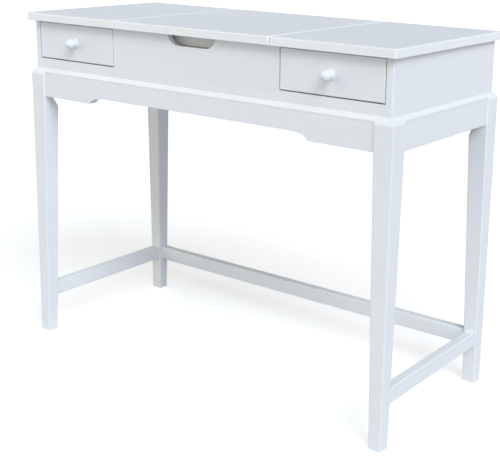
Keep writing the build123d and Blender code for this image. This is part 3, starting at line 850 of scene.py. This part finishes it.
def knobFastening(drawer):
    # a washer and a screw head behind the drawer front, in line with the knob
    low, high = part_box(drawer + "_knob")
    seat = Vector(((low.x + high.x) / 2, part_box(drawer + "_front")[1].y, (low.z + high.z) / 2))
    radius, thickness = washer["radius"], washer["thickness"]
    ring = turned([(0, 0), (radius, 0), (radius, thickness - washer["easeDown"]),
                   (radius - washer["easeIn"], thickness), (0, thickness)], washer["sides"])
    back = (0, 1, 0)
    return joined([aimed(ring, seat, back), drivenHead("knob", seat + Vector(back) * thickness, back, 22)])


caseTop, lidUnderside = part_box("case_back")[1].z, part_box("lid_panel")[0].z
addPiece("corner_screws", joined(bracketHeads()), "table", zinc)
addPiece("hinge_case_screws", joined(hingeHeads(caseTop, 1)), "table", nickel)
addPiece("hinge_lid_screws", joined(hingeHeads(lidUnderside, -1)), "lid", nickel)
for drawer in ("drawer_left", "drawer_right"):
    addPiece(drawer + "_knob_screw", knobFastening(drawer), drawer, zinc)
print("screws driven")

bumper = {"places": (-0.188, -0.078, 0.078, 0.188), "radius": 0.0045, "thickness": 0.0003, "sides": 24}


def feltDots():
    low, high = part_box("front_panel")
    radius, thickness = bumper["radius"], bumper["thickness"]
    for x in bumper["places"]:
        dot = turned([(0, 0), (radius, 0), (radius, thickness), (0, thickness)], bumper["sides"])
        yield aimed(dot, Vector((x, (low.y + high.y) / 2, high.z)), (0, 0, 1))


addPiece("lid_bumpers", joined(feltDots()), "table", makeFelt())
print("lid bumpers laid")

studio = {
    "floorSize": 30.0,
    "floorDrop": 0.0004,  # clear of the feet
    "floorColour": (0.60, 0.60, 0.60, 1),
    "floorRoughness": 0.9,
    "floorGlow": 0.62,
    "skyColour": (1.0, 1.0, 1.0, 1),
    "skyStrength": 0.024,
    "backdrop": (1.0, 1.0, 1.0, 1),
}
lamps = {  # the way towards each lamp, its colour, strength, and how wide it looks in degrees
    "keyLamp": ((0.85, -0.45, 0.85), (0.832, 0.876, 0.99), 2.009, 30),
    "highLamp": ((0.42, -0.80, 0.95), (0.686, 0.889, 1.0), 0.633, 25),
    "sideLamp": ((1.0, -0.15, 0.45), (0.80, 1.0, 0.85), 0.290, 40),
    "leftLamp": ((-0.8, -0.7, 0.40), (1.0, 0.955, 0.782), 1.395, 60),
    "lowLamp": ((0.62, -0.58, 0.20), (1.0, 0.880, 0.898), 0.675, 40),
    "rearLamp": ((0.45, 1.0, 0.10), (1.0, 1.0, 1.0), 0.77, 50),
    "farSideLamp": ((-1.0, -0.10, 0.12), (0.25, 0.42, 1.0), 0.264, 50),
}


def seenPlainly(tree):
    # 1 for what the camera, a gloss or glass sees, 0 for the light that falls on the table
    rays = addNode(tree, "ShaderNodeLightPath").outputs
    mirrored = mathNode(tree, "ADD", rays["Is Glossy Ray"], rays["Is Transmission Ray"])
    return mathNode(tree, "ADD", rays["Is Camera Ray"], mirrored, clamp=True)


def makeFloor():
    form = bmesh.new()
    bmesh.ops.create_grid(form, x_segments=2, y_segments=2, size=studio["floorSize"] / 2)
    bmesh.ops.translate(form, verts=form.verts, vec=(0, 0, -studio["floorDrop"]))
    mesh = bpy.data.meshes.new("floor")
    form.to_mesh(mesh)
    form.free()
    floor = bpy.data.objects.new("floor", mesh)
    scene.collection.objects.link(floor)
    finish, tree, shader, where = newFinish("paleFloor")
    feed(tree, shader, {
        "Base Color": studio["floorColour"], "Roughness": studio["floorRoughness"],
        "Specular IOR Level": 0.0, "Emission Color": studio["backdrop"],
        "Emission Strength": mathNode(tree, "MULTIPLY", seenPlainly(tree), studio["floorGlow"]),
    })
    mesh.materials.append(finish)
    floor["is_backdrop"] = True


def makeSky():
    world = bpy.data.worlds.new("studio")
    world.use_nodes = True
    scene.world = world
    tree = world.node_tree
    tree.nodes.clear()
    soft = addNode(tree, "ShaderNodeBackground")
    feed(tree, soft, {"Color": studio["skyColour"], "Strength": studio["skyStrength"]})
    white = addNode(tree, "ShaderNodeBackground")
    feed(tree, white, {"Color": studio["backdrop"], "Strength": 1.0})
    both = addNode(tree, "ShaderNodeMixShader")
    feed(tree, both, {0: seenPlainly(tree), 1: soft.outputs[0], 2: white.outputs[0]})
    out = addNode(tree, "ShaderNodeOutputWorld")
    tree.links.new(both.outputs[0], out.inputs["Surface"])


def makeLamp(name, way, colour, strength, wide):
    lamp = bpy.data.lights.new(name, "SUN")
    lamp.energy = strength
    lamp.color = colour
    lamp.angle = math.radians(wide)
    holder = bpy.data.objects.new(name, lamp)
    holder.rotation_euler = Vector(way).to_track_quat("Z", "Y").to_euler()
    scene.collection.objects.link(holder)


makeFloor()
makeSky()
for name, settings in lamps.items():
    makeLamp(name, *settings)
print("studio built")

low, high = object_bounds()
